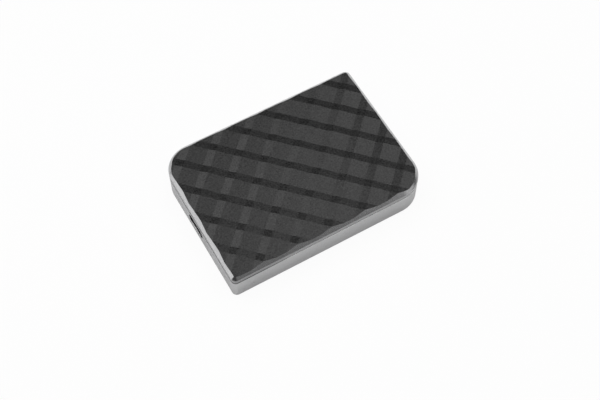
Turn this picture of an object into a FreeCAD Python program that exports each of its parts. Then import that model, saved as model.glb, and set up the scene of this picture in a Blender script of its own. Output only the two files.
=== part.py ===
import FreeCAD, Part
import math
import os
import Sketcher
from FreeCAD import Placement, Rotation, Vector

# A pocket solid state drive: a light tray and a dark faceted cover snapped together round one board.
# Millimetres. The origin is under the middle of the underside, +X runs along the drive away from its port,
# +Y to its back and +Z up.

SIZES = {
    # case
    "case_length": 74.0,
    "case_width": 53.4,
    "wide_corner": 9.8,
    "tight_corner": 1.8,
    "tray_height": 8.35,
    "wall": 1.5,
    "floor_thickness": 1.3,
    "foot_edge": 0.2,
    # joint between the tray and the cover
    "seam_gap": 0.3,
    "lip_thickness": 0.8,
    "lip_height": 1.4,
    "lip_clearance": 0.1,
    # cover
    "rim_height": 1.45,
    "cover_height": 2.85,
    "crest_spare": 0.1,
    "wave_pitch": 8.95,
    "wave_steep": 2.75,
    "wave_rise": 0.34,
    "wave_shift": 2.1,
    # snap hooks of the cover
    "hook_pitch": 20.0,
    "hook_width": 5.0,
    "hook_thickness": 0.9,
    "hook_reach": 3.2,
    "hook_clearance": 0.15,
    "barb_depth": 0.5,
    "barb_height": 0.9,
    "catch_clearance": 0.2,
    # board and its screws
    "board_thickness": 1.0,
    "board_end_room": 0.4,
    "board_side_room": 2.1,
    "board_corner": 1.5,
    "screw_end_inset": 6.5,
    "screw_side_inset": 4.0,
    "screw_diameter": 1.6,
    "screw_length": 2.6,
    "screw_head_diameter": 3.2,
    "screw_head_height": 0.8,
    "screw_head_edge": 0.3,
    "screw_cross_span": 1.8,
    "screw_cross_width": 0.4,
    "screw_cross_depth": 0.4,
    "screw_clearance": 0.1,
    "screw_tip_room": 0.3,
    "boss_wall": 1.1,
    # port
    "socket_width": 8.94,
    "socket_height": 3.26,
    "socket_depth": 7.35,
    "socket_gauge": 0.3,
    "socket_recess": 0.6,
    "port_clearance": 0.25,
    "leg_width": 1.1,
    "leg_first": 2.6,
    "leg_spacing": 3.4,
    "leg_stub": 0.4,
    "leg_rise": 0.3,
    "leg_clearance": 0.15,
    "tongue_width": 6.69,
    "tongue_thickness": 0.7,
    "tongue_setback": 0.9,
    "tongue_root": 2.0,
    "contact_pitch": 0.5,
    "contact_width": 0.28,
    "contact_length": 3.0,
    "contact_thickness": 0.06,
    "contact_setback": 0.5,
    # chips
    "bridge_side": 7.0,
    "bridge_height": 0.85,
    "controller_side": 12.0,
    "controller_height": 1.2,
    "flash_length": 18.0,
    "flash_width": 12.0,
    "flash_height": 0.95,
    "flash_spacing": 1.0,
    "flash_floor_room": 0.35,
    "firmware_length": 4.0,
    "firmware_width": 3.0,
    "firmware_height": 0.6,
    "regulator_side": 3.0,
    "regulator_height": 0.8,
    "suppressor_length": 2.5,
    "suppressor_width": 1.0,
    "suppressor_height": 0.5,
    "chip_edge": 0.12,
    "pin_mark": 0.5,
    "pin_mark_inset": 0.45,
    "pin_mark_depth": 0.05,
    "far_end_room": 11.0,
    # small parts of the board
    "inductor_side": 4.0,
    "inductor_height": 2.0,
    "inductor_corner": 0.6,
    "crystal_length": 3.2,
    "crystal_width": 2.5,
    "crystal_base": 0.45,
    "crystal_lid": 0.3,
    "crystal_step": 0.25,
    "bulk_length": 3.5,
    "bulk_width": 2.8,
    "bulk_height": 1.9,
    "bulk_edge_room": 1.5,
    "capacitor_length": 1.6,
    "capacitor_width": 0.8,
    "capacitor_height": 0.8,
    "resistor_length": 1.0,
    "resistor_width": 0.5,
    "resistor_height": 0.35,
    "part_spacing": 1.2,
}

doc = FreeCAD.newDocument("pocket_drive")
sheet = doc.addObject("Spreadsheet::Sheet", "Sizes")
for row, (alias, number) in enumerate(SIZES.items(), start=1):
    sheet.set(f"A{row}", alias)
    sheet.set(f"B{row}", str(number))
    sheet.setAlias(f"B{row}", alias)
doc.recompute()


def value(expression):
    """The number that an expression over the sheet gives now."""
    return float(sheet.evalExpression(expression))


# heights of the stack, from the underside up
RIM_BOTTOM = "(Sizes.tray_height + Sizes.seam_gap)"
RIM_TOP = f"({RIM_BOTTOM} + Sizes.rim_height)"
CREST = f"({RIM_BOTTOM} + Sizes.cover_height)"
CEILING = "(Sizes.tray_height + Sizes.lip_height)"
BOARD_BOTTOM = "(Sizes.floor_thickness + Sizes.flash_height + Sizes.flash_floor_room)"
BOARD_TOP = f"({BOARD_BOTTOM} + Sizes.board_thickness)"
PORT_HEIGHT = f"({BOARD_TOP} + Sizes.socket_height / 2)"

# places along the drive, from the port end on
HALF_LENGTH = "(Sizes.case_length / 2)"
HALF_WIDTH = "(Sizes.case_width / 2)"
BOARD_END = f"({HALF_LENGTH} - Sizes.wall - Sizes.board_end_room)"
BOARD_SIDE = f"({HALF_WIDTH} - Sizes.wall - Sizes.board_side_room)"
MOUTH = f"(Sizes.socket_recess - {HALF_LENGTH})"
SOCKET_BACK = f"({MOUTH} + Sizes.socket_depth)"
CHIP_GAP = (
    f"(({BOARD_END} - Sizes.far_end_room - {SOCKET_BACK}"
    " - Sizes.bridge_side - Sizes.controller_side - Sizes.flash_width) / 3)"
)
BRIDGE_X = f"({SOCKET_BACK} + {CHIP_GAP} + Sizes.bridge_side / 2)"
CONTROLLER_X = f"({BRIDGE_X} + Sizes.bridge_side / 2 + {CHIP_GAP} + Sizes.controller_side / 2)"
FLASH_X = f"({CONTROLLER_X} + Sizes.controller_side / 2 + {CHIP_GAP} + Sizes.flash_width / 2)"
FLASH_Y = "((Sizes.flash_length + Sizes.flash_spacing) / 2)"
SCREW_X = f"({BOARD_END} - Sizes.screw_end_inset)"
SCREW_Y = f"({BOARD_SIDE} - Sizes.screw_side_inset)"
SIGNS = [(-1, -1), (1, -1), (1, 1), (-1, 1)]


def new_body(label):
    """An empty body whose label names its file."""
    body = doc.addObject("PartDesign::Body", label)
    body.Label = label
    return body


def new_sketch(body, name, plane, offset="0"):
    """A sketch on one of the body's own origin planes, moved along that plane's normal."""
    sketch = body.newObject("Sketcher::SketchObject", f"{body.Name}_{name}")
    support = [feature for feature in body.Origin.OriginFeatures if feature.Role == plane]
    sketch.AttachmentSupport = [(support[0], "")]
    sketch.MapMode = "FlatFace"
    sketch.setExpression("AttachmentOffset.Base.z", offset)
    return sketch


def fix(sketch, kind, target, expression):
    """A coordinate or radius of the sketch that follows the sheet."""
    index = sketch.addConstraint(Sketcher.Constraint(kind, *target, value(expression)))
    sketch.setExpression(f"Constraints[{index}]", expression)


def draw_polygon(sketch, points):
    """Closed straight-sided loop through points given as pairs of expressions."""
    first = sketch.GeometryCount
    corners = [Vector(value(x), value(y), 0) for x, y in points]
    count = len(corners)
    for i in range(count):
        sketch.addGeometry(Part.LineSegment(corners[i], corners[(i + 1) % count]))
    for i, (x, y) in enumerate(points):
        sketch.addConstraint(Sketcher.Constraint("Coincident", first + i, 2, first + (i + 1) % count, 1))
        fix(sketch, "DistanceX", (first + i, 1), x)
        fix(sketch, "DistanceY", (first + i, 1), y)


def draw_rectangle(sketch, x_low, x_high, y_low, y_high):
    """Rectangle between two values of each coordinate."""
    draw_polygon(sketch, [(x_low, y_low), (x_high, y_low), (x_high, y_high), (x_low, y_high)])


def draw_circle(sketch, x, y, radius):
    """Circle about a point."""
    index = sketch.addGeometry(Part.Circle(Vector(value(x), value(y), 0), Vector(0, 0, 1), value(radius)))
    fix(sketch, "Radius", (index,), radius)
    fix(sketch, "DistanceX", (index, 3), x)
    fix(sketch, "DistanceY", (index, 3), y)


def draw_rounded(sketch, arcs):
    """Closed loop of tangent arcs joined by straight sides; each arc is (x, y, radius, start, end degrees)."""
    first = sketch.GeometryCount
    curves = []
    for x, y, radius, start, end in arcs:
        circle = Part.Circle(Vector(value(x), value(y), 0), Vector(0, 0, 1), value(radius))
        curves.append(Part.ArcOfCircle(circle, math.radians(start), math.radians(end)))
    count = len(curves)
    for i in range(count):
        sketch.addGeometry(curves[i])
        sketch.addGeometry(Part.LineSegment(curves[i].EndPoint, curves[(i + 1) % count].StartPoint))
    for i, (x, y, radius, start, end) in enumerate(arcs):
        arc = first + 2 * i
        following = first + 2 * ((i + 1) % count)
        sketch.addConstraint(Sketcher.Constraint("Tangent", arc, 2, arc + 1, 1))
        sketch.addConstraint(Sketcher.Constraint("Tangent", arc + 1, 2, following, 1))
        fix(sketch, "Radius", (arc,), radius)
        fix(sketch, "DistanceX", (arc, 3), x)
        fix(sketch, "DistanceY", (arc, 3), y)


def draw_case_outline(sketch, end_inset, side_inset, wide_radius, tight_radius):
    """The drive's plan: wide corners at front right and back left, tight ones at the other two."""
    right = f"{HALF_LENGTH} - ({end_inset})"
    back = f"{HALF_WIDTH} - ({side_inset})"
    draw_rounded(sketch, [
        (f"{right} - ({wide_radius})", f"({wide_radius}) - ({back})", wide_radius, -90, 0),
        (f"{right} - ({tight_radius})", f"{back} - ({tight_radius})", tight_radius, 0, 90),
        (f"({wide_radius}) - ({right})", f"{back} - ({wide_radius})", wide_radius, 90, 180),
        (f"({tight_radius}) - ({right})", f"({tight_radius}) - ({back})", tight_radius, 180, 270),
    ])


def draw_case_inset(sketch, inset):
    """The drive's plan moved in by the same amount all round."""
    draw_case_outline(sketch, inset, inset, f"Sizes.wide_corner - ({inset})", f"Sizes.tight_corner - ({inset})")


def draw_slot(sketch, y, z, width, height):
    """Long hole with round ends."""
    shift = f"(({width}) / 2 - ({height}) / 2)"
    draw_rounded(sketch, [
        (f"{y} + {shift}", z, f"({height}) / 2", -90, 90),
        (f"{y} - {shift}", z, f"({height}) / 2", 90, 270),
    ])


def add_feature(body, kind, sketch, length, backwards=False, middle=False):
    """Pad or pocket of a sketch; a pocket has to take material away and a pad has to add it."""
    doc.recompute()
    before = body.Shape.Volume if body.Tip else 0.0
    feature = body.newObject(f"PartDesign::{kind}", f"{sketch.Name}_{kind}")
    feature.Profile = sketch
    feature.setExpression("Length", length)
    feature.Reversed = backwards
    feature.Midplane = middle
    doc.recompute()
    change = body.Shape.Volume - before
    if change == 0.0 or (change > 0.0) != (kind == "Pad"):
        raise RuntimeError(f"{feature.Name} changes the volume by {change}")
    return feature


def edges_at_height(feature, height):
    """Names of the edges that lie wholly at one height."""
    names = []
    for i, edge in enumerate(feature.Shape.Edges, start=1):
        box = edge.BoundBox
        if abs(box.ZMin - height) < 1e-4 and abs(box.ZMax - height) < 1e-4:
            names.append(f"Edge{i}")
    return names


def upright_edges(feature):
    """Names of the straight edges that stand upright."""
    names = []
    for i, edge in enumerate(feature.Shape.Edges, start=1):
        box = edge.BoundBox
        if box.XLength < 1e-4 and box.YLength < 1e-4:
            names.append(f"Edge{i}")
    return names


def add_edge_dressing(body, kind, feature, edges, prop, expression):
    """Fillet or chamfer along named edges of a feature."""
    dressing = body.newObject(f"PartDesign::{kind}", f"{body.Name}_{kind}")
    dressing.Base = (feature, edges)
    dressing.setExpression(prop, expression)
    doc.recompute()
    return dressing


def place(part, x, y, z):
    """Binds a sub-part's place to the sheet."""
    for axis, expression in zip("xyz", (x, y, z)):
        part.setExpression(f"Placement.Base.{axis}", expression)


def make_group(label, pattern, places):
    """One node of several like solids, each a copy of the pattern's shape at one of the places."""
    doc.recompute()
    copies = []
    for position in places:
        copy = pattern.Shape.copy()
        copy.Placement = position
        copies.append(copy)
    group = doc.addObject("Part::Feature", label)
    group.Label = label
    group.Shape = Part.makeCompound(copies)
    return group


def at(x, y, z, turn=0.0):
    """A place from three expressions and a turn about the upright axis."""
    return Placement(Vector(value(x), value(y), value(z)), Rotation(Vector(0, 0, 1), turn))


# Tray: floor and walls moulded in one, open above, with the port in its end wall.
tray = new_body("tray")
outline = new_sketch(tray, "outline", "XY_Plane")
draw_case_inset(outline, "0")
block = add_feature(tray, "Pad", outline, "Sizes.tray_height")
add_edge_dressing(tray, "Chamfer", block, edges_at_height(block, 0.0), "Size", "Sizes.foot_edge")

lip = new_sketch(tray, "lip", "XY_Plane", "Sizes.tray_height")
draw_case_inset(lip, "Sizes.wall - Sizes.lip_thickness")
add_feature(tray, "Pad", lip, "Sizes.lip_height")

hollow = new_sketch(tray, "hollow", "XY_Plane", CEILING)
draw_case_inset(hollow, "Sizes.wall")
add_feature(tray, "Pocket", hollow, f"{CEILING} - Sizes.floor_thickness")

bosses = new_sketch(tray, "bosses", "XY_Plane", "Sizes.floor_thickness")
pilots = new_sketch(tray, "pilots", "XY_Plane", BOARD_BOTTOM)
PILOT_RADIUS = "(Sizes.screw_diameter / 2 + Sizes.screw_clearance)"
for side_x, side_y in SIGNS:
    draw_circle(bosses, f"{side_x} * {SCREW_X}", f"{side_y} * {SCREW_Y}", f"{PILOT_RADIUS} + Sizes.boss_wall")
    draw_circle(pilots, f"{side_x} * {SCREW_X}", f"{side_y} * {SCREW_Y}", PILOT_RADIUS)
add_feature(tray, "Pad", bosses, f"{BOARD_BOTTOM} - Sizes.floor_thickness")
PILOT_DEPTH = "(Sizes.screw_length - Sizes.board_thickness + Sizes.screw_tip_room)"
add_feature(tray, "Pocket", pilots, PILOT_DEPTH)

port = new_sketch(tray, "port", "YZ_Plane", f"Sizes.wall - {HALF_LENGTH}")
draw_slot(
    port, "0", PORT_HEIGHT,
    "Sizes.socket_width + 2 * Sizes.port_clearance",
    "Sizes.socket_height + 2 * Sizes.port_clearance",
)
add_feature(tray, "Pocket", port, "Sizes.wall")

# Catches: shallow windows in the long walls that the cover's barbs click into.
BARB_BOTTOM = "(Sizes.tray_height - Sizes.hook_reach)"
BARB_TOP = f"({BARB_BOTTOM} + Sizes.barb_height)"
catches = new_sketch(tray, "catches", "XZ_Plane")
CATCH_HALF = "(Sizes.hook_width / 2 + Sizes.catch_clearance)"
for step in (-1, 0, 1):
    draw_rectangle(
        catches,
        f"{step} * Sizes.hook_pitch - {CATCH_HALF}", f"{step} * Sizes.hook_pitch + {CATCH_HALF}",
        f"{BARB_BOTTOM} - Sizes.catch_clearance", f"{BARB_TOP} + Sizes.catch_clearance",
    )
add_feature(
    tray, "Pocket", catches,
    "Sizes.case_width - 2 * Sizes.wall + 2 * Sizes.barb_depth", middle=True,
)

# Cover: a rim, a bevel all round, a flat underside that sits on the tray's lip, and six snap hooks.
cover_blank = new_body("cover_blank")
COVER_TOP = f"({CREST} + Sizes.crest_spare)"
outline = new_sketch(cover_blank, "outline", "XY_Plane", RIM_BOTTOM)
draw_case_inset(outline, "0")
block = add_feature(cover_blank, "Pad", outline, f"{COVER_TOP} - {RIM_BOTTOM}")
add_edge_dressing(
    cover_blank, "Chamfer", block, edges_at_height(block, value(COVER_TOP)),
    "Size", f"{COVER_TOP} - {RIM_TOP}",
)
underside = new_sketch(cover_blank, "underside", "XY_Plane", RIM_BOTTOM)
draw_case_inset(underside, "Sizes.wall - Sizes.lip_thickness - Sizes.lip_clearance")
add_feature(cover_blank, "Pocket", underside, f"{CEILING} - {RIM_BOTTOM}", backwards=True)

HOOK_FACE = f"({HALF_WIDTH} - Sizes.wall - Sizes.hook_clearance)"
HOOK_BACK = f"({HOOK_FACE} - Sizes.hook_thickness)"
BARB_TIP = f"({HOOK_FACE} + Sizes.barb_depth)"
hooks = new_sketch(cover_blank, "hooks", "YZ_Plane", "-1 * Sizes.hook_pitch")
for side in (-1, 1):
    draw_polygon(hooks, [
        (f"{side} * {HOOK_BACK}", CEILING),
        (f"{side} * {HOOK_BACK}", BARB_BOTTOM),
        (f"{side} * {HOOK_FACE}", BARB_BOTTOM),
        (f"{side} * {BARB_TIP}", BARB_TOP),
        (f"{side} * {HOOK_FACE}", BARB_TOP),
        (f"{side} * {HOOK_FACE}", CEILING),
    ])
first_hooks = add_feature(cover_blank, "Pad", hooks, "Sizes.hook_width", middle=True)
hook_row = cover_blank.newObject("PartDesign::LinearPattern", "hook_row")
hook_row.Originals = [first_hooks]
along_drive = [feature for feature in cover_blank.Origin.OriginFeatures if feature.Role == "X_Axis"]
hook_row.Direction = (along_drive[0], [""])
hook_row.setExpression("Length", "2 * Sizes.hook_pitch")
hook_row.Occurrences = 3
cover_blank.Tip = hook_row
doc.recompute()


def wave_stations(reach):
    """Creases of one wave across the drive: a narrow steep fall, then a wide gentle rise."""
    pitch = value("Sizes.wave_pitch")
    half_steep = value("Sizes.wave_steep / 2")
    half_rise = value("Sizes.wave_rise / 2")
    count = math.ceil(reach / pitch)
    stations = []
    for i in range(-count, count + 1):
        stations.append((i * pitch - half_steep, half_rise))
        stations.append((i * pitch + half_steep, -half_rise))
    return stations


def make_wave_block():
    """Block whose top is the sum of two such waves, one along each diagonal: a field of flat facets."""
    root_half = math.sqrt(0.5)
    along = Vector(root_half, root_half, 0)
    across = Vector(-root_half, root_half, 0)
    upward = Vector(0, 0, 1)
    middle = Vector(0, value("Sizes.wave_shift"), value(f"{CREST} - Sizes.wave_rise"))
    reach = value(f"{HALF_LENGTH} + {HALF_WIDTH} + abs(Sizes.wave_shift)") * root_half
    stations = wave_stations(reach)
    depth = value(CREST)
    creases = [middle + along * distance + upward * height for distance, height in stations]
    foot = [creases[-1] - upward * depth, creases[0] - upward * depth]
    section = Part.Face(Part.makePolygon(creases + foot + [creases[0]]))
    strips = []
    for (start, low), (end, high) in zip(stations, stations[1:]):
        strip = section.translated(across * start + upward * low)
        strips.append(strip.extrude(across * (end - start) + upward * (high - low)))
    return strips[0].multiFuse(strips[1:])


waves = doc.addObject("Part::Feature", "waves")
waves.Shape = make_wave_block()
top_cover = doc.addObject("Part::Common", "top_cover")
top_cover.Label = "top_cover"
top_cover.Base = cover_blank
top_cover.Tool = waves

# Board: fills the tray between the hooks, with holes for its screws and slots for the socket's legs.
board = new_body("main_board")
outline = new_sketch(board, "outline", "XY_Plane", BOARD_BOTTOM)
draw_case_outline(
    outline, "Sizes.wall + Sizes.board_end_room", "Sizes.wall + Sizes.board_side_room",
    "Sizes.wide_corner - Sizes.wall", "Sizes.board_corner",
)
add_feature(board, "Pad", outline, "Sizes.board_thickness")
drills = new_sketch(board, "drills", "XY_Plane", BOARD_TOP)
for side_x, side_y in SIGNS:
    draw_circle(drills, f"{side_x} * {SCREW_X}", f"{side_y} * {SCREW_Y}", PILOT_RADIUS)
LEG_FACE = "(Sizes.socket_width / 2)"
LEG_BACK = f"({LEG_FACE} - Sizes.socket_gauge)"
LEG_STARTS = [f"({MOUTH} + Sizes.leg_first + {i} * Sizes.leg_spacing)" for i in range(2)]
for start in LEG_STARTS:
    for side in (-1, 1):
        draw_rectangle(
            drills,
            f"{start} - Sizes.leg_clearance", f"{start} + Sizes.leg_width + Sizes.leg_clearance",
            f"{side} * ({LEG_BACK} - Sizes.leg_clearance)", f"{side} * ({LEG_FACE} + Sizes.leg_clearance)",
        )
add_feature(board, "Pocket", drills, "Sizes.board_thickness")

# Port socket: a folded steel sleeve on four legs, and a moulded tongue inside it.
sleeve = new_body("socket_sleeve")
section = new_sketch(sleeve, "section", "YZ_Plane", MOUTH)
draw_slot(section, "0", PORT_HEIGHT, "Sizes.socket_width", "Sizes.socket_height")
BORE_WIDTH = "(Sizes.socket_width - 2 * Sizes.socket_gauge)"
BORE_HEIGHT = "(Sizes.socket_height - 2 * Sizes.socket_gauge)"
draw_slot(section, "0", PORT_HEIGHT, BORE_WIDTH, BORE_HEIGHT)
add_feature(sleeve, "Pad", section, "Sizes.socket_depth")
legs = new_sketch(sleeve, "legs", "XY_Plane", f"{PORT_HEIGHT} + Sizes.leg_rise")
for start in LEG_STARTS:
    for side in (-1, 1):
        draw_rectangle(legs, start, f"{start} + Sizes.leg_width", f"{side} * {LEG_BACK}", f"{side} * {LEG_FACE}")
add_feature(
    sleeve, "Pad", legs,
    f"{PORT_HEIGHT} + Sizes.leg_rise - {BOARD_BOTTOM} + Sizes.leg_stub", backwards=True,
)

tongue = new_body("socket_tongue")
root = new_sketch(tongue, "root", "YZ_Plane", f"{SOCKET_BACK} - Sizes.tongue_root")
draw_slot(root, "0", PORT_HEIGHT, BORE_WIDTH, BORE_HEIGHT)
add_feature(tongue, "Pad", root, "Sizes.tongue_root")
TONGUE_TIP = f"({MOUTH} + Sizes.tongue_setback)"
blade = new_sketch(tongue, "blade", "YZ_Plane", TONGUE_TIP)
draw_rectangle(
    blade, "-0.5 * Sizes.tongue_width", "0.5 * Sizes.tongue_width",
    f"{PORT_HEIGHT} - Sizes.tongue_thickness / 2", f"{PORT_HEIGHT} + Sizes.tongue_thickness / 2",
)
add_feature(tongue, "Pad", blade, f"{SOCKET_BACK} - Sizes.tongue_root - {TONGUE_TIP}")

contact = doc.addObject("Part::Box", "contact")
for prop, expression in (
    ("Length", "Sizes.contact_length"),
    ("Width", "Sizes.contact_width"),
    ("Height", "Sizes.contact_thickness"),
):
    contact.setExpression(prop, expression)
contact_places = []
CONTACTS_A_SIDE = 12
for i in range(CONTACTS_A_SIDE):
    lane = f"({i} - {(CONTACTS_A_SIDE - 1) / 2}) * Sizes.contact_pitch - Sizes.contact_width / 2"
    start = f"{TONGUE_TIP} + Sizes.contact_setback"
    contact_places.append(at(start, lane, f"{PORT_HEIGHT} + Sizes.tongue_thickness / 2"))
    contact_places.append(at(start, lane, f"{PORT_HEIGHT} - Sizes.tongue_thickness / 2 - Sizes.contact_thickness"))
make_group("socket_contacts", contact, contact_places)


def make_chip(label, length, width, height):
    """Moulded chip package on its own origin: flat block, bevelled top, round mark at its first pin."""
    body = new_body(label)
    plan = new_sketch(body, "plan", "XY_Plane")
    draw_rectangle(plan, f"-0.5 * {length}", f"0.5 * {length}", f"-0.5 * {width}", f"0.5 * {width}")
    package = add_feature(body, "Pad", plan, height)
    add_edge_dressing(body, "Chamfer", package, edges_at_height(package, value(height)), "Size", "Sizes.chip_edge")
    mark = new_sketch(body, "mark", "XY_Plane", height)
    inset = "Sizes.pin_mark_inset"
    draw_circle(mark, f"{inset} - 0.5 * {length}", f"0.5 * {width} - {inset}", "Sizes.pin_mark / 2")
    add_feature(body, "Pocket", mark, "Sizes.pin_mark_depth")
    return body


# Chips: bridge behind the socket, then the controller, then memory on both faces of the board.
bridge = make_chip("bridge_chip", "Sizes.bridge_side", "Sizes.bridge_side", "Sizes.bridge_height")
place(bridge, BRIDGE_X, "0", BOARD_TOP)
controller = make_chip(
    "controller_chip", "Sizes.controller_side", "Sizes.controller_side", "Sizes.controller_height",
)
place(controller, CONTROLLER_X, "0", BOARD_TOP)
for number, (side, face) in enumerate([(-1, 1), (1, 1), (-1, -1), (1, -1)], start=1):
    flash = make_chip(f"flash_chip_{number}", "Sizes.flash_width", "Sizes.flash_length", "Sizes.flash_height")
    if face < 0:
        flash.Placement = Placement(Vector(0, 0, 0), Rotation(Vector(1, 0, 0), 180))
    place(flash, FLASH_X, f"{side} * {FLASH_Y}", BOARD_TOP if face > 0 else BOARD_BOTTOM)
firmware = make_chip("firmware_chip", "Sizes.firmware_length", "Sizes.firmware_width", "Sizes.firmware_height")
FIRMWARE_Y = "(Sizes.bridge_side / 2 + Sizes.part_spacing + Sizes.firmware_width / 2)"
place(firmware, BRIDGE_X, FIRMWARE_Y, BOARD_TOP)

# Power parts: two regulators, each beside its coil and reservoir capacitor, in front of the controller.
BULK_Y = f"(Sizes.bulk_edge_room - {BOARD_SIDE})"
POWER_Y = f"({BULK_Y} + Sizes.bulk_width + Sizes.part_spacing + Sizes.inductor_side / 2)"
POWER_STEP = "(Sizes.inductor_side + Sizes.part_spacing)"
regulator = make_chip("regulator", "Sizes.regulator_side", "Sizes.regulator_side", "Sizes.regulator_height")
make_group("power_regulators", regulator, [
    at(f"{CONTROLLER_X} + {step} * {POWER_STEP}", POWER_Y, BOARD_TOP) for step in (-1.5, 0.5)
])

inductor = new_body("inductor")
plan = new_sketch(inductor, "plan", "XY_Plane")
draw_rectangle(
    plan, "-0.5 * Sizes.inductor_side", "0.5 * Sizes.inductor_side",
    "-0.5 * Sizes.inductor_side", "0.5 * Sizes.inductor_side",
)
core = add_feature(inductor, "Pad", plan, "Sizes.inductor_height")
add_edge_dressing(inductor, "Fillet", core, upright_edges(core), "Radius", "Sizes.inductor_corner")
make_group("power_coils", inductor, [
    at(f"{CONTROLLER_X} + {step} * {POWER_STEP}", POWER_Y, BOARD_TOP) for step in (-0.5, 1.5)
])

bulk = doc.addObject("Part::Box", "bulk")
for prop, expression in (
    ("Length", "Sizes.bulk_length"),
    ("Width", "Sizes.bulk_width"),
    ("Height", "Sizes.bulk_height"),
):
    bulk.setExpression(prop, expression)
make_group("reservoir_capacitors", bulk, [
    at(f"{CONTROLLER_X} + {step} * {POWER_STEP} - Sizes.bulk_length / 2", BULK_Y, BOARD_TOP)
    for step in (-0.5, 1.5)
])

# Clock crystals: a metal lid on a ceramic base, one for the bridge and one for the controller.
for label, x, y in (
    ("bridge_crystal", BRIDGE_X, "(-1 * (Sizes.bridge_side / 2 + Sizes.part_spacing + Sizes.crystal_width / 2))"),
    ("controller_crystal", CONTROLLER_X,
     "(Sizes.controller_side / 2 + 2 * Sizes.part_spacing + Sizes.crystal_width / 2)"),
):
    crystal = new_body(label)
    base = new_sketch(crystal, "base", "XY_Plane")
    lid = new_sketch(crystal, "lid", "XY_Plane", "Sizes.crystal_base")
    for sketch, inset in ((base, "0"), (lid, "Sizes.crystal_step")):
        draw_rectangle(
            sketch,
            f"{inset} - Sizes.crystal_length / 2", f"Sizes.crystal_length / 2 - {inset}",
            f"{inset} - Sizes.crystal_width / 2", f"Sizes.crystal_width / 2 - {inset}",
        )
    add_feature(crystal, "Pad", base, "Sizes.crystal_base")
    add_feature(crystal, "Pad", lid, "Sizes.crystal_lid")
    place(crystal, x, y, BOARD_TOP)

# Surge suppressors: one for each row of the socket's contacts, just behind the socket.
suppressor = make_chip(
    "suppressor", "Sizes.suppressor_width", "Sizes.suppressor_length", "Sizes.suppressor_height",
)
make_group("surge_suppressors", suppressor, [
    at(f"{SOCKET_BACK} + Sizes.part_spacing + Sizes.suppressor_width / 2",
       f"{side} * (Sizes.suppressor_length / 2 + Sizes.part_spacing / 2)", BOARD_TOP)
    for side in (-1, 1)
])

# Small ceramic capacitors and resistors in rows beside the chips that they serve.
capacitor = doc.addObject("Part::Box", "capacitor")
resistor = doc.addObject("Part::Box", "resistor")
for name, box in (("capacitor", capacitor), ("resistor", resistor)):
    box.setExpression("Length", f"Sizes.{name}_width")
    box.setExpression("Width", f"Sizes.{name}_length")
    box.setExpression("Height", f"Sizes.{name}_height")
CAPACITORS_A_ROW = 6
capacitor_places = []
for i in range(CAPACITORS_A_ROW):
    lane = f"({i} - {CAPACITORS_A_ROW / 2}) * (Sizes.capacitor_length + Sizes.part_spacing) + Sizes.part_spacing / 2"
    for side, row_x, half in (
        (-1, CONTROLLER_X, "Sizes.controller_side / 2"),
        (1, CONTROLLER_X, "Sizes.controller_side / 2"),
        (1, FLASH_X, "Sizes.flash_width / 2"),
    ):
        middle = f"{row_x} + {side} * ({half} + Sizes.part_spacing + Sizes.capacitor_width / 2)"
        capacitor_places.append(at(f"{middle} - Sizes.capacitor_width / 2", lane, BOARD_TOP))
make_group("small_capacitors", capacitor, capacitor_places)

RESISTORS_A_ROW = 5
resistor_places = []
for i in range(RESISTORS_A_ROW):
    lane = f"({i} - {RESISTORS_A_ROW / 2}) * (Sizes.resistor_length + Sizes.part_spacing / 2)"
    for side in (-1, 1):
        middle = f"{BRIDGE_X} + {side} * (Sizes.bridge_side / 2 + Sizes.part_spacing / 2 + Sizes.resistor_width / 2)"
        resistor_places.append(at(f"{middle} - Sizes.resistor_width / 2", lane, BOARD_TOP))
make_group("small_resistors", resistor, resistor_places)

# Board screws: flat-headed, cross-recessed, one through each corner hole into a boss.
screw = new_body("screw")
shank = new_sketch(screw, "shank", "XY_Plane")
draw_circle(shank, "0", "0", "Sizes.screw_diameter / 2")
add_feature(screw, "Pad", shank, "Sizes.screw_length", backwards=True)
head = new_sketch(screw, "head", "XY_Plane")
draw_circle(head, "0", "0", "Sizes.screw_head_diameter / 2")
cap = add_feature(screw, "Pad", head, "Sizes.screw_head_height")
add_edge_dressing(
    screw, "Chamfer", cap, edges_at_height(cap, value("Sizes.screw_head_height")),
    "Size", "Sizes.screw_head_edge",
)
recess = new_sketch(screw, "recess", "XY_Plane", "Sizes.screw_head_height")
ARM = "Sizes.screw_cross_span / 2"
RIB = "Sizes.screw_cross_width / 2"
draw_polygon(recess, [
    (ARM, f"-1 * {RIB}"), (ARM, RIB), (RIB, RIB), (RIB, ARM), (f"-1 * {RIB}", ARM), (f"-1 * {RIB}", RIB),
    (f"-1 * {ARM}", RIB), (f"-1 * {ARM}", f"-1 * {RIB}"), (f"-1 * {RIB}", f"-1 * {RIB}"),
    (f"-1 * {RIB}", f"-1 * {ARM}"), (RIB, f"-1 * {ARM}"), (RIB, f"-1 * {RIB}"),
])
add_feature(screw, "Pocket", recess, "Sizes.screw_cross_depth")
make_group("board_screws", screw, [
    at(f"{side_x} * {SCREW_X}", f"{side_y} * {SCREW_Y}", BOARD_TOP) for side_x, side_y in SIGNS
])

NODES = [
    "tray", "top_cover", "main_board", "socket_sleeve", "socket_tongue", "socket_contacts",
    "bridge_chip", "controller_chip", "flash_chip_1", "flash_chip_2", "flash_chip_3", "flash_chip_4",
    "firmware_chip", "power_regulators", "power_coils", "reservoir_capacitors",
    "bridge_crystal", "controller_crystal", "surge_suppressors",
    "small_capacitors", "small_resistors", "board_screws",
]

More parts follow.
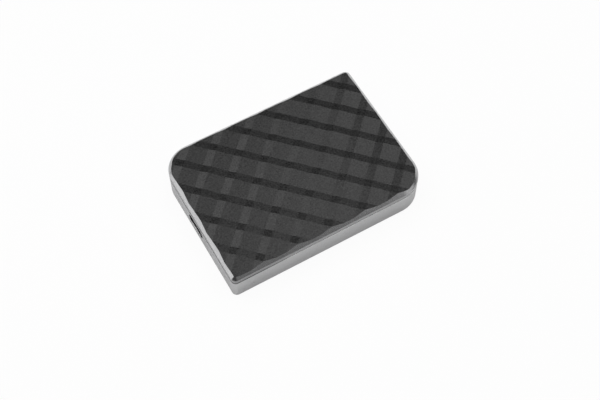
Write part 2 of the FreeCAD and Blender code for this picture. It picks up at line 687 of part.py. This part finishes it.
doc.recompute()
for item in doc.Objects:
    if "Invalid" in item.State or "Error" in item.State:
        raise RuntimeError(f"{item.Name} failed: {item.State}")
nodes = {}
for label in NODES:
    part = doc.getObjectsByLabel(label)[0]
    if part.Shape.isNull() or not part.Shape.isValid() or not part.Shape.Solids:
        raise RuntimeError(f"{label} has no valid solid")
    nodes[label] = part
os.makedirs("parts", exist_ok=True)
for label, part in nodes.items():
    part.Shape.exportStep(f"parts/{label}.step")
    box = part.Shape.BoundBox
    print(label, len(part.Shape.Solids), "solids", [round(size, 2) for size in (box.XLength, box.YLength, box.ZLength)])
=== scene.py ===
import math
import bmesh
import bpy
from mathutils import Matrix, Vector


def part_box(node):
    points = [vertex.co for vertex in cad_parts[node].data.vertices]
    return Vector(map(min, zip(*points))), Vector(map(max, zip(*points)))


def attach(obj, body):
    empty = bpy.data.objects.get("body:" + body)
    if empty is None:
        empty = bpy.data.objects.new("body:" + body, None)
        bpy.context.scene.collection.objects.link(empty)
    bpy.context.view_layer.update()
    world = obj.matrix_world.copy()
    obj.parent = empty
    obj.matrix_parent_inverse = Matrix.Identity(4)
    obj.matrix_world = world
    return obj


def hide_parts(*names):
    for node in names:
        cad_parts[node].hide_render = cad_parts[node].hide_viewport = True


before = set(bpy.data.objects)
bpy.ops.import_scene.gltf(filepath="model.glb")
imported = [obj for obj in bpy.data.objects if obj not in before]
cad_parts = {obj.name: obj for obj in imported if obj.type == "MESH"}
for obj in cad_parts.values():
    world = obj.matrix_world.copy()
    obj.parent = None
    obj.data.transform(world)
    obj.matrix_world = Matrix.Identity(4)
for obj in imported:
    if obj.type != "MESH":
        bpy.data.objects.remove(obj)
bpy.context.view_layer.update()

# Tray: the drive's lower half, floor and walls moulded in one piece of ABS and sprayed with silver lacquer.
# The board is screwed to four bosses on its floor, and its end wall has the slot for the data socket.
MM = 0.001
LIP_HEIGHT = 1.4 * MM
EDGE_ROUND = 0.07
tray_low, tray_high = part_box("tray")
wall_top = tray_high.z - LIP_HEIGHT


def softened_copy(node, name, rounded, width, creased=lambda edge: False):
    """A copy of a CAD node: its triangles joined into flat faces, its chosen outer edges rounded to a width
    in millimetres, and its shading smooth except at steep edges and at the chosen creases."""
    same_point = 0.001 * MM
    same_plane = math.radians(0.2)
    steep = math.radians(30)
    shape = bmesh.new()
    shape.from_mesh(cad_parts[node].data)
    bmesh.ops.remove_doubles(shape, verts=shape.verts, dist=same_point)
    bmesh.ops.dissolve_limit(shape, angle_limit=same_plane, verts=shape.verts, edges=shape.edges)
    edges = [
        edge for edge in shape.edges
        if edge.is_convex and edge.calc_face_angle() > steep and rounded(edge)
    ]
    bmesh.ops.bevel(
        shape, geom=edges, offset=width * MM, offset_type="OFFSET", segments=3, profile=0.5,
        affect="EDGES", clamp_overlap=False,
    )
    shape.normal_update()
    for face in shape.faces:
        face.smooth = True
    for edge in shape.edges:
        edge.smooth = edge.calc_face_angle(0.0) < steep and not creased(edge)
    mesh = bpy.data.meshes.new(name)
    shape.to_mesh(mesh)
    shape.free()
    stored_normals = mesh.attributes.get("custom_normal")
    if stored_normals:
        mesh.attributes.remove(stored_normals)
    piece = bpy.data.objects.new(name, mesh)
    bpy.context.scene.collection.objects.link(piece)
    return piece


def lies_at(edge, axis, place):
    """True for an edge whose two ends both have this place on one axis."""
    tolerance = 0.002 * MM
    return all(abs(getattr(vertex.co, axis) - place) < tolerance for vertex in edge.verts)


tray = softened_copy(
    "tray", "tray_shell",
    rounded=lambda edge: lies_at(edge, "z", wall_top) or lies_at(edge, "x", tray_low.x),
    width=EDGE_ROUND,
)


def linear(hex_colour):
    """Linear RGBA of an sRGB hex colour."""
    channels = [int(hex_colour[i:i + 2], 16) / 255 for i in (1, 3, 5)]
    return [c / 12.92 if c <= 0.04045 else ((c + 0.055) / 1.055) ** 2.4 for c in channels] + [1.0]


def add_node(tree, kind, settings=None, links=None):
    """A shader node with its properties and sockets set, and other nodes' outputs linked into it."""
    node = tree.nodes.new("ShaderNode" + kind)
    for name, value in (settings or {}).items():
        if isinstance(name, int) or name in node.inputs:
            node.inputs[name].default_value = value
        else:
            setattr(node, name, value)
    for name, source in (links or {}).items():
        tree.links.new(source, node.inputs[name])
    return node


def empty_material(name):
    """A material with no nodes yet."""
    material = bpy.data.materials.new(name)
    material.use_nodes = True
    material.node_tree.nodes.clear()
    return material


def grained_finish(name, dark, light, roughness, grain, depth, metallic=0.0, patch=4.0, shine=0.5):
    """A finish whose colour runs between two hex values over a fine grain, with a bump of the same grain
    and a slow change of gloss. Grain, depth and patch are millimetres, and shine is the strength of a
    plastic's reflection. A grain finer than 0.2 mm wouldn't show, so none is drawn finer than that."""
    dark_below = 0.3
    light_above = 0.7
    gloss_change = 0.06
    material = empty_material(name)
    tree = material.node_tree
    place = add_node(tree, "TexCoord").outputs["Object"]
    speck = add_node(
        tree, "TexNoise", {"Scale": 1 / (grain * MM), "Detail": 3.0, "Roughness": 0.6}, {"Vector": place},
    ).outputs["Fac"]
    colour = add_node(tree, "ValToRGB", links={"Fac": speck})
    colour.color_ramp.elements[0].position = dark_below
    colour.color_ramp.elements[0].color = linear(dark)
    colour.color_ramp.elements[1].position = light_above
    colour.color_ramp.elements[1].color = linear(light)
    cloud = add_node(tree, "TexNoise", {"Scale": 1 / (patch * MM), "Detail": 2.0}, {"Vector": place})
    gloss = add_node(
        tree, "MapRange", {"To Min": roughness - gloss_change, "To Max": roughness + gloss_change},
        {"Value": cloud.outputs["Fac"]},
    )
    bump = add_node(tree, "Bump", {"Strength": 1.0, "Distance": depth * MM}, {"Height": speck})
    shader = add_node(
        tree, "BsdfPrincipled", {"Metallic": metallic, "Specular IOR Level": shine},
        {"Base Color": colour.outputs["Color"], "Roughness": gloss.outputs["Result"],
         "Normal": bump.outputs["Normal"]},
    )
    add_node(tree, "OutputMaterial", links={"Surface": shader.outputs["BSDF"]})
    return material


# Sprayed lacquer looks like soft silver: no mirror image, a faint sparkle of flakes and an uneven sheen.
# The flakes are a few hundredths of a millimetre wide and are drawn ten times coarser, so that they show.
silver_lacquer = grained_finish(
    "silver_lacquer_on_abs", "#b8b8b9", "#c6c6c7", roughness=0.3, grain=0.4, depth=0.004, metallic=1.0,
)
# The spray doesn't reach the joint faces, the inside or the slot's depth, so dark ABS shows in the seam.
bare_plastic = grained_finish(
    "bare_dark_abs", "#18181a", "#222224", roughness=0.5, grain=0.6, depth=0.006,
)


def painted_shade_finish(name, port_end_colour, far_colour):
    """A metallic coat that runs patchily between two hex values, from the port end colour, a painted shade,
    to the far colour further along the drive."""
    patch_size = 3 * MM
    patch_depth = 0.01 * MM
    darkest_until = -30 * MM
    lightest_from = -8 * MM
    least_light = -0.3
    most_light = 0.7
    darkest_below = 0.4
    lightest_above = 0.9
    roughest = 0.32
    smoothest = 0.18
    material = empty_material(name)
    tree = material.node_tree
    place = add_node(tree, "TexCoord").outputs["Object"]
    along = add_node(tree, "SeparateXYZ", links={"Vector": place}).outputs["X"]
    patches = add_node(
        tree, "TexNoise", {"Scale": 1 / patch_size, "Detail": 3.0}, {"Vector": place},
    ).outputs["Fac"]
    light_level = add_node(
        tree, "MapRange",
        {"From Min": darkest_until, "From Max": lightest_from, "To Min": least_light, "To Max": most_light},
        {"Value": along},
    )
    lightness = add_node(tree, "Math", {"operation": "ADD"}, {0: light_level.outputs["Result"], 1: patches})
    colour = add_node(tree, "ValToRGB", links={"Fac": lightness.outputs["Value"]})
    colour.color_ramp.elements[0].position = darkest_below
    colour.color_ramp.elements[0].color = linear(port_end_colour)
    colour.color_ramp.elements[1].position = lightest_above
    colour.color_ramp.elements[1].color = linear(far_colour)
    gloss = add_node(tree, "MapRange", {"To Min": roughest, "To Max": smoothest}, {"Value": patches})
    bump = add_node(tree, "Bump", {"Strength": 1.0, "Distance": patch_depth}, {"Height": patches})
    shader = add_node(
        tree, "BsdfPrincipled", {"Metallic": 1.0},
        {"Base Color": colour.outputs["Color"], "Roughness": gloss.outputs["Result"],
         "Normal": bump.outputs["Normal"]},
    )
    add_node(tree, "OutputMaterial", links={"Surface": shader.outputs["BSDF"]})
    return material


# On the sharp joint edge the lacquer has painted light: a near-black painted shadow at the port end,
# and a painted highlight, brighter than the silver, further along the drive.
seam_shade_and_highlight = painted_shade_finish("lacquer_painted_seam_shadow_and_highlight", "#18181a", "#dadadb")
for finish in (silver_lacquer, bare_plastic, seam_shade_and_highlight):
    tray.data.materials.append(finish)
SILVER, BARE, PAINTED_SEAM = range(3)
SPRAY_DEPTH = 0.2 * MM
WALL_LEAN = 0.2
corners = [vertex.co.xy for vertex in tray.data.vertices]
for face in tray.data.polygons:
    outward = face.normal.xy
    if outward.length > WALL_LEAN:
        farthest = max(outward.dot(corner) for corner in corners)
        sprayed = farthest - outward.dot(face.center.xy) < SPRAY_DEPTH
    else:
        sprayed = face.normal.z < 0 and face.center.z < tray_low.z + SPRAY_DEPTH
    if not sprayed or face.center.z > wall_top:
        face.material_index = BARE
    else:
        # Faces of the joint edge's rounding take the painted shadow and painted highlight.
        face.material_index = PAINTED_SEAM if face.center.z > wall_top - EDGE_ROUND * MM else SILVER
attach(tray, "root")
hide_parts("tray")

# Board: one sheet of glass-fibre laminate under green solder resist, cut to the tray's inside.
# It lies on the tray's four bosses, and the rest of the drive's circuit is soldered to its two faces.


def dress(nodes, finish):
    """Gives one finish to CAD nodes that stay as they are."""
    for node in nodes:
        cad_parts[node].data.materials.clear()
        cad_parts[node].data.materials.append(finish)


# Solder resist looks like deep green varnish, and the weave of the glass under it leaves the shine uneven.
solder_resist = grained_finish(
    "solder_resist_on_laminate", "#0d3a24", "#14482e", roughness=0.4, grain=0.6, depth=0.004,
)
dress(["main_board"], solder_resist)

# Chips: the bridge with its start-up memory, the controller and four memories, moulded in black epoxy.
# They are soldered flat to the board, each with a round mark at its first pin.
# Filled epoxy is a flat near-black, speckled by its silica.
chip_epoxy = grained_finish(
    "silica_filled_epoxy", "#141416", "#1e1e20", roughness=0.55, grain=0.25, depth=0.004,
)
dress(["bridge_chip", "firmware_chip", "controller_chip"], chip_epoxy)
dress(["flash_chip_1", "flash_chip_2", "flash_chip_3", "flash_chip_4"], chip_epoxy)

# Power parts: two regulators and two suppressors in the chips' epoxy, two coils and two large capacitors.
# Each coil and capacitor stands beside its regulator, and the suppressors stand behind the socket.
dress(["power_regulators", "surge_suppressors"], chip_epoxy)
# Pressed iron powder looks like dry slate, with no shine and a coarse grain.
coil_core = grained_finish(
    "pressed_iron_powder", "#3a3a3c", "#4a4a4b", roughness=0.7, grain=0.3, depth=0.008,
)
dress(["power_coils"], coil_core)
# The capacitors' moulded cases are mustard yellow with the soft shine of filled resin.
capacitor_case = grained_finish(
    "moulded_yellow_resin", "#8a6a1c", "#a17c26", roughness=0.5, grain=0.3, depth=0.004,
)
dress(["reservoir_capacitors"], capacitor_case)

# Clock crystals: two sealed cans, soldered beside bridge and controller, each a lid on a shallow base.
# Nickel plate is a slightly warm grey metal, and the welding of the lid leaves its shine cloudy.
nickel_plate = grained_finish(
    "nickel_plate", "#a9a7a0", "#bcbab2", roughness=0.28, grain=0.4, depth=0.003, metallic=1.0, patch=1.0,
)
dress(["bridge_crystal", "controller_crystal"], nickel_plate)

# Small parts: rows of ceramic capacitors and film resistors, soldered beside the chips that they serve.
# Fired ceramic is a dull tan, like unglazed stoneware.
fired_ceramic = grained_finish(
    "fired_ceramic", "#8d7a5e", "#a08b6c", roughness=0.45, grain=0.2, depth=0.003,
)
dress(["small_capacitors"], fired_ceramic)
# The resistors' glazed film is black and catches a sharper light than the chips.
glazed_film = grained_finish(
    "glazed_resistor_film", "#17171a", "#232326", roughness=0.3, grain=0.2, depth=0.003,
)
dress(["small_resistors"], glazed_film)

# Board screws: four flat-headed, cross-recessed steel screws, through the board's corners into the bosses.
# Zinc plate is a cool bright grey with a faint frost.
zinc_plate = grained_finish(
    "zinc_plate", "#b0b0ae", "#c2c2c0", roughness=0.3, grain=0.25, depth=0.003, metallic=1.0, patch=1.0,
)
dress(["board_screws"], zinc_plate)

# Data socket: a sleeve folded from sheet steel round a moulded tongue that carries two rows of contacts.
# Its four legs are soldered through the board, and its mouth stands just inside the tray's slot.
MOUTH_ROUND = 0.08
socket_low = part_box("socket_sleeve")[0]
sleeve = softened_copy(
    "socket_sleeve", "socket_sleeve_shell",
    rounded=lambda edge: lies_at(edge, "x", socket_low.x),
    width=MOUTH_ROUND,
)
# Drawn stainless steel is a dark clean grey, and its folded lip catches a thin line of light.
stainless_steel = grained_finish(
    "drawn_stainless_steel", "#8b8b8d", "#9a9a9c",
    roughness=0.32, grain=0.3, depth=0.003, metallic=1.0, patch=2.0,
)
sleeve.data.materials.append(stainless_steel)
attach(sleeve, "root")
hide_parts("socket_sleeve")
# The tongue's glass-filled nylon is a dull black that leaves the slot looking empty.
tongue_nylon = grained_finish(
    "glass_filled_nylon", "#0f0f10", "#18181a", roughness=0.5, grain=0.25, depth=0.004,
)
dress(["socket_tongue"], tongue_nylon)
# Gold flash on the contacts is a soft deep yellow.
gold_flash = grained_finish(
    "gold_flash", "#b98b36", "#cda04a", roughness=0.3, grain=0.25, depth=0.002, metallic=1.0, patch=1.0,
)
dress(["socket_contacts"], gold_flash)

# Cover: one moulding of dark grained ABS, its top a field of shallow facets where two sets of bands cross.
# The bevel and the rim round it are lacquered silver, and six hooks under it click into the tray.
RIM_ROUND = 0.07
FACET_SLOPE_LIMIT = 0.9
BEVEL_SLOPE_LIMIT = 0.3


def between_facets(edge):
    """True for a crease where two facets of the top meet."""
    return all(face.normal.z > FACET_SLOPE_LIMIT for face in edge.link_faces)


def round_the_bevel(edge):
    """True for an edge of the bevel or the rim that touches no facet of the top."""
    above_joint = min(vertex.co.z for vertex in edge.verts) > wall_top
    return above_joint and not any(face.normal.z > FACET_SLOPE_LIMIT for face in edge.link_faces)


cover = softened_copy(
    "top_cover", "faceted_cover", rounded=round_the_bevel, width=RIM_ROUND, creased=between_facets,
)
# Spark-grained ABS is charcoal with a low sheen, which facets that lean different ways show differently.
# Its grain is a tenth of a millimetre wide and is drawn five times coarser, so that it shows.
dark_plastic = grained_finish(
    "spark_grained_dark_abs", "#040404", "#333333", roughness=0.22, grain=0.5, depth=0.013, shine=0.24,
)
# On the bevel the lacquer lies on polished plastic, so it is the brightest and mirrors the room most.
bevel_lacquer = grained_finish(
    "silver_lacquer_bevel", "#bcbcbd", "#c8c8c9", roughness=0.24, grain=0.4, depth=0.006, metallic=1.0,
)
# The upright rim has painted shade: the bevel's silver made a shade greyer, and darker still at the port
# end.
shaded_rim_lacquer = painted_shade_finish("silver_lacquer_painted_shade_grey", "#929293", "#a2a2a3")
for finish in (dark_plastic, bevel_lacquer, shaded_rim_lacquer):
    cover.data.materials.append(finish)
DARK, BEVEL, RIM = range(3)
for face in cover.data.polygons:
    slope = face.normal.z
    if slope > FACET_SLOPE_LIMIT or slope < -BEVEL_SLOPE_LIMIT or face.center.z < wall_top:
        face.material_index = DARK
    else:
        # Upright faces of the rim take the greyer lacquer of painted shade.
        face.material_index = BEVEL if slope > BEVEL_SLOPE_LIMIT else RIM
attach(cover, "root")
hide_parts("top_cover")

# Floor: a plain white table top, which carries the drive's soft shadow.
# What the camera or a glossy surface sees of it is partly its own white, so it meets the background unseen.
FLOOR_SIZE = 6.0
FLOOR_GAP = 0.02 * MM
WHITE_TO_CAMERA = 0.93
WHITE_TO_GLOSS = 0.05
floor_mesh = bpy.data.meshes.new("table_top")
half = FLOOR_SIZE / 2
floor_corners = [(-half, -half, 0), (half, -half, 0), (half, half, 0), (-half, half, 0)]
floor_mesh.from_pydata(floor_corners, [], [(0, 1, 2, 3)])
floor = bpy.data.objects.new("table_top", floor_mesh)
bpy.context.scene.collection.objects.link(floor)
floor.location.z = tray_low.z - FLOOR_GAP
# Matt white laminate has no shine of its own, and shadows fade out softly on it.
white_table = empty_material("white_table_top")
tree = white_table.node_tree
path = add_node(tree, "LightPath")
for_camera = add_node(
    tree, "Math", {"operation": "MULTIPLY", 1: WHITE_TO_CAMERA}, {0: path.outputs["Is Camera Ray"]},
)
share = add_node(
    tree, "Math", {"operation": "MULTIPLY_ADD", 1: WHITE_TO_GLOSS},
    {0: path.outputs["Is Glossy Ray"], 2: for_camera.outputs["Value"]},
)
laminate = add_node(tree, "BsdfDiffuse", {"Color": linear("#e8e8e8")})
glow = add_node(tree, "Emission", {"Color": linear("#ffffff"), "Strength": 1.0})
mixed = add_node(
    tree, "MixShader",
    links={0: share.outputs["Value"], 1: laminate.outputs["BSDF"], 2: glow.outputs["Emission"]},
)
add_node(tree, "OutputMaterial", links={"Surface": mixed.outputs["Shader"]})
floor.data.materials.append(white_table)

# Light: one broad softbox above the drive's front and four above its back, with four low panels round it.
# The gentle facets mirror the softboxes, the steep ones mostly miss them, and the panels light the bevel.
bpy.context.scene.view_settings.view_transform = "Standard"
SOFTBOX_HEIGHT = 0.7
SOFTBOX_HEADING = math.radians(32)


def area_light(name, width, height, radiance):
    """A rectangular light of a size in metres, with the power that gives its face this radiance."""
    lamp = bpy.data.lights.new(name, "AREA")
    lamp.shape = "RECTANGLE"
    lamp.size = width
    lamp.size_y = height
    lamp.energy = radiance * math.pi * width * height
    holder = bpy.data.objects.new(name, lamp)
    bpy.context.scene.collection.objects.link(holder)
    return holder


def softbox(name, near, far, left, right, radiance):
    """A level light that shines down, its edges in metres along the softboxes' heading and across it."""
    holder = area_light(name, right - left, far - near, radiance)
    ahead = (near + far) / 2
    sideways = (left + right) / 2
    holder.location = (
        ahead * math.sin(SOFTBOX_HEADING) + sideways * math.cos(SOFTBOX_HEADING),
        ahead * math.cos(SOFTBOX_HEADING) - sideways * math.sin(SOFTBOX_HEADING),
        SOFTBOX_HEIGHT,
    )
    holder.rotation_euler.z = -SOFTBOX_HEADING


softbox("front_softbox", near=-0.5, far=0.05, left=-0.8, right=0.8, radiance=1.62)
softbox("left_softbox", near=0.05, far=0.52, left=-0.8, right=-0.145, radiance=2.82)
softbox("middle_softbox", near=0.05, far=0.36, left=-0.145, right=0.01, radiance=1.57)
softbox("right_softbox", near=0.05, far=0.56, left=0.01, right=0.45, radiance=2.43)
softbox("back_softbox", near=0.56, far=0.85, left=-0.3, right=0.3, radiance=0.45)


def standing_panel(name, heading, elevation, width, height, radiance):
    """A light one metre away that faces the drive, at a heading and an elevation in degrees."""
    holder = area_light(name, width, height, radiance)
    turn = math.radians(heading)
    rise = math.radians(elevation)
    holder.location = (math.sin(turn) * math.cos(rise), math.cos(turn) * math.cos(rise), math.sin(rise))
    holder.rotation_euler = (math.pi / 2 - rise, 0.0, math.pi - turn)


standing_panel("left_panel", heading=-66, elevation=11, width=0.66, height=0.36, radiance=0.7)
standing_panel("right_panel", heading=136.5, elevation=17.5, width=0.63, height=0.4, radiance=0.62)
standing_panel("front_panel", heading=170, elevation=24, width=0.6, height=0.28, radiance=0.18)
standing_panel("end_panel", heading=78, elevation=26, width=1.4, height=0.3, radiance=0.4)

# Room: pale walls round the table, palest at the left, that the bevel mirrors under a dark ceiling.
# The camera sees plain white in their place.
# The first three values are strengths, the rest the X or Z of a direction where one gives way to the next.
LEFT_WALL = 0.48
RIGHT_WALL = 0.03
CEILING = 0.02
LEFT_WALL_ENDS = -0.2
RIGHT_WALL_STARTS = 0.9
WALLS_END = 0.12
CEILING_STARTS = 0.3
world = bpy.data.worlds.new("pale_room")
bpy.context.scene.world = world
world.use_nodes = True
tree = world.node_tree
tree.nodes.clear()
path = add_node(tree, "LightPath")
direction = add_node(tree, "TexCoord").outputs["Generated"]
axes = add_node(tree, "SeparateXYZ", links={"Vector": direction})
wall_light = add_node(
    tree, "MapRange",
    {"From Min": LEFT_WALL_ENDS, "From Max": RIGHT_WALL_STARTS, "To Min": LEFT_WALL, "To Max": RIGHT_WALL},
    {"Value": axes.outputs["X"]},
)
room_light = add_node(
    tree, "MapRange",
    {"interpolation_type": "SMOOTHSTEP",
     "From Min": WALLS_END, "From Max": CEILING_STARTS, "To Max": CEILING},
    {"Value": axes.outputs["Z"], "To Min": wall_light.outputs["Result"]},
)
room = add_node(
    tree, "Background", {"Color": linear("#ffffff")}, {"Strength": room_light.outputs["Result"]},
)
white = add_node(tree, "Background", {"Color": linear("#ffffff"), "Strength": 1.0})
backdrop = add_node(
    tree, "MixShader",
    links={0: path.outputs["Is Camera Ray"], 1: room.outputs["Background"], 2: white.outputs["Background"]},
)
add_node(tree, "OutputWorld", links={"Surface": backdrop.outputs["Shader"]})

# Camera: looks down on the port end from the front left, as in the photograph.
# Its place, its aim and its lens were fitted to the drive's outline and edges there.
CAMERA_AZIMUTH = math.radians(-29.78)
CAMERA_ELEVATION = math.radians(60.23)
CAMERA_DISTANCE = 381.05 * MM
CAMERA_AIM = (-0.70 * MM, -5.79 * MM, 0.0)
FOCAL_LENGTH = 67.26
lens = bpy.data.cameras.new("camera")
lens.lens = FOCAL_LENGTH
lens.sensor_width = 36.0
lens.clip_start = 10 * MM
camera = bpy.data.objects.new("camera", lens)
camera.location = (
    CAMERA_AIM[0] + CAMERA_DISTANCE * math.sin(CAMERA_AZIMUTH) * math.cos(CAMERA_ELEVATION),
    CAMERA_AIM[1] - CAMERA_DISTANCE * math.cos(CAMERA_AZIMUTH) * math.cos(CAMERA_ELEVATION),
    CAMERA_AIM[2] + CAMERA_DISTANCE * math.sin(CAMERA_ELEVATION),
)
camera.rotation_euler = (math.pi / 2 - CAMERA_ELEVATION, 0.0, CAMERA_AZIMUTH)
bpy.context.scene.collection.objects.link(camera)
bpy.context.scene.camera = camera
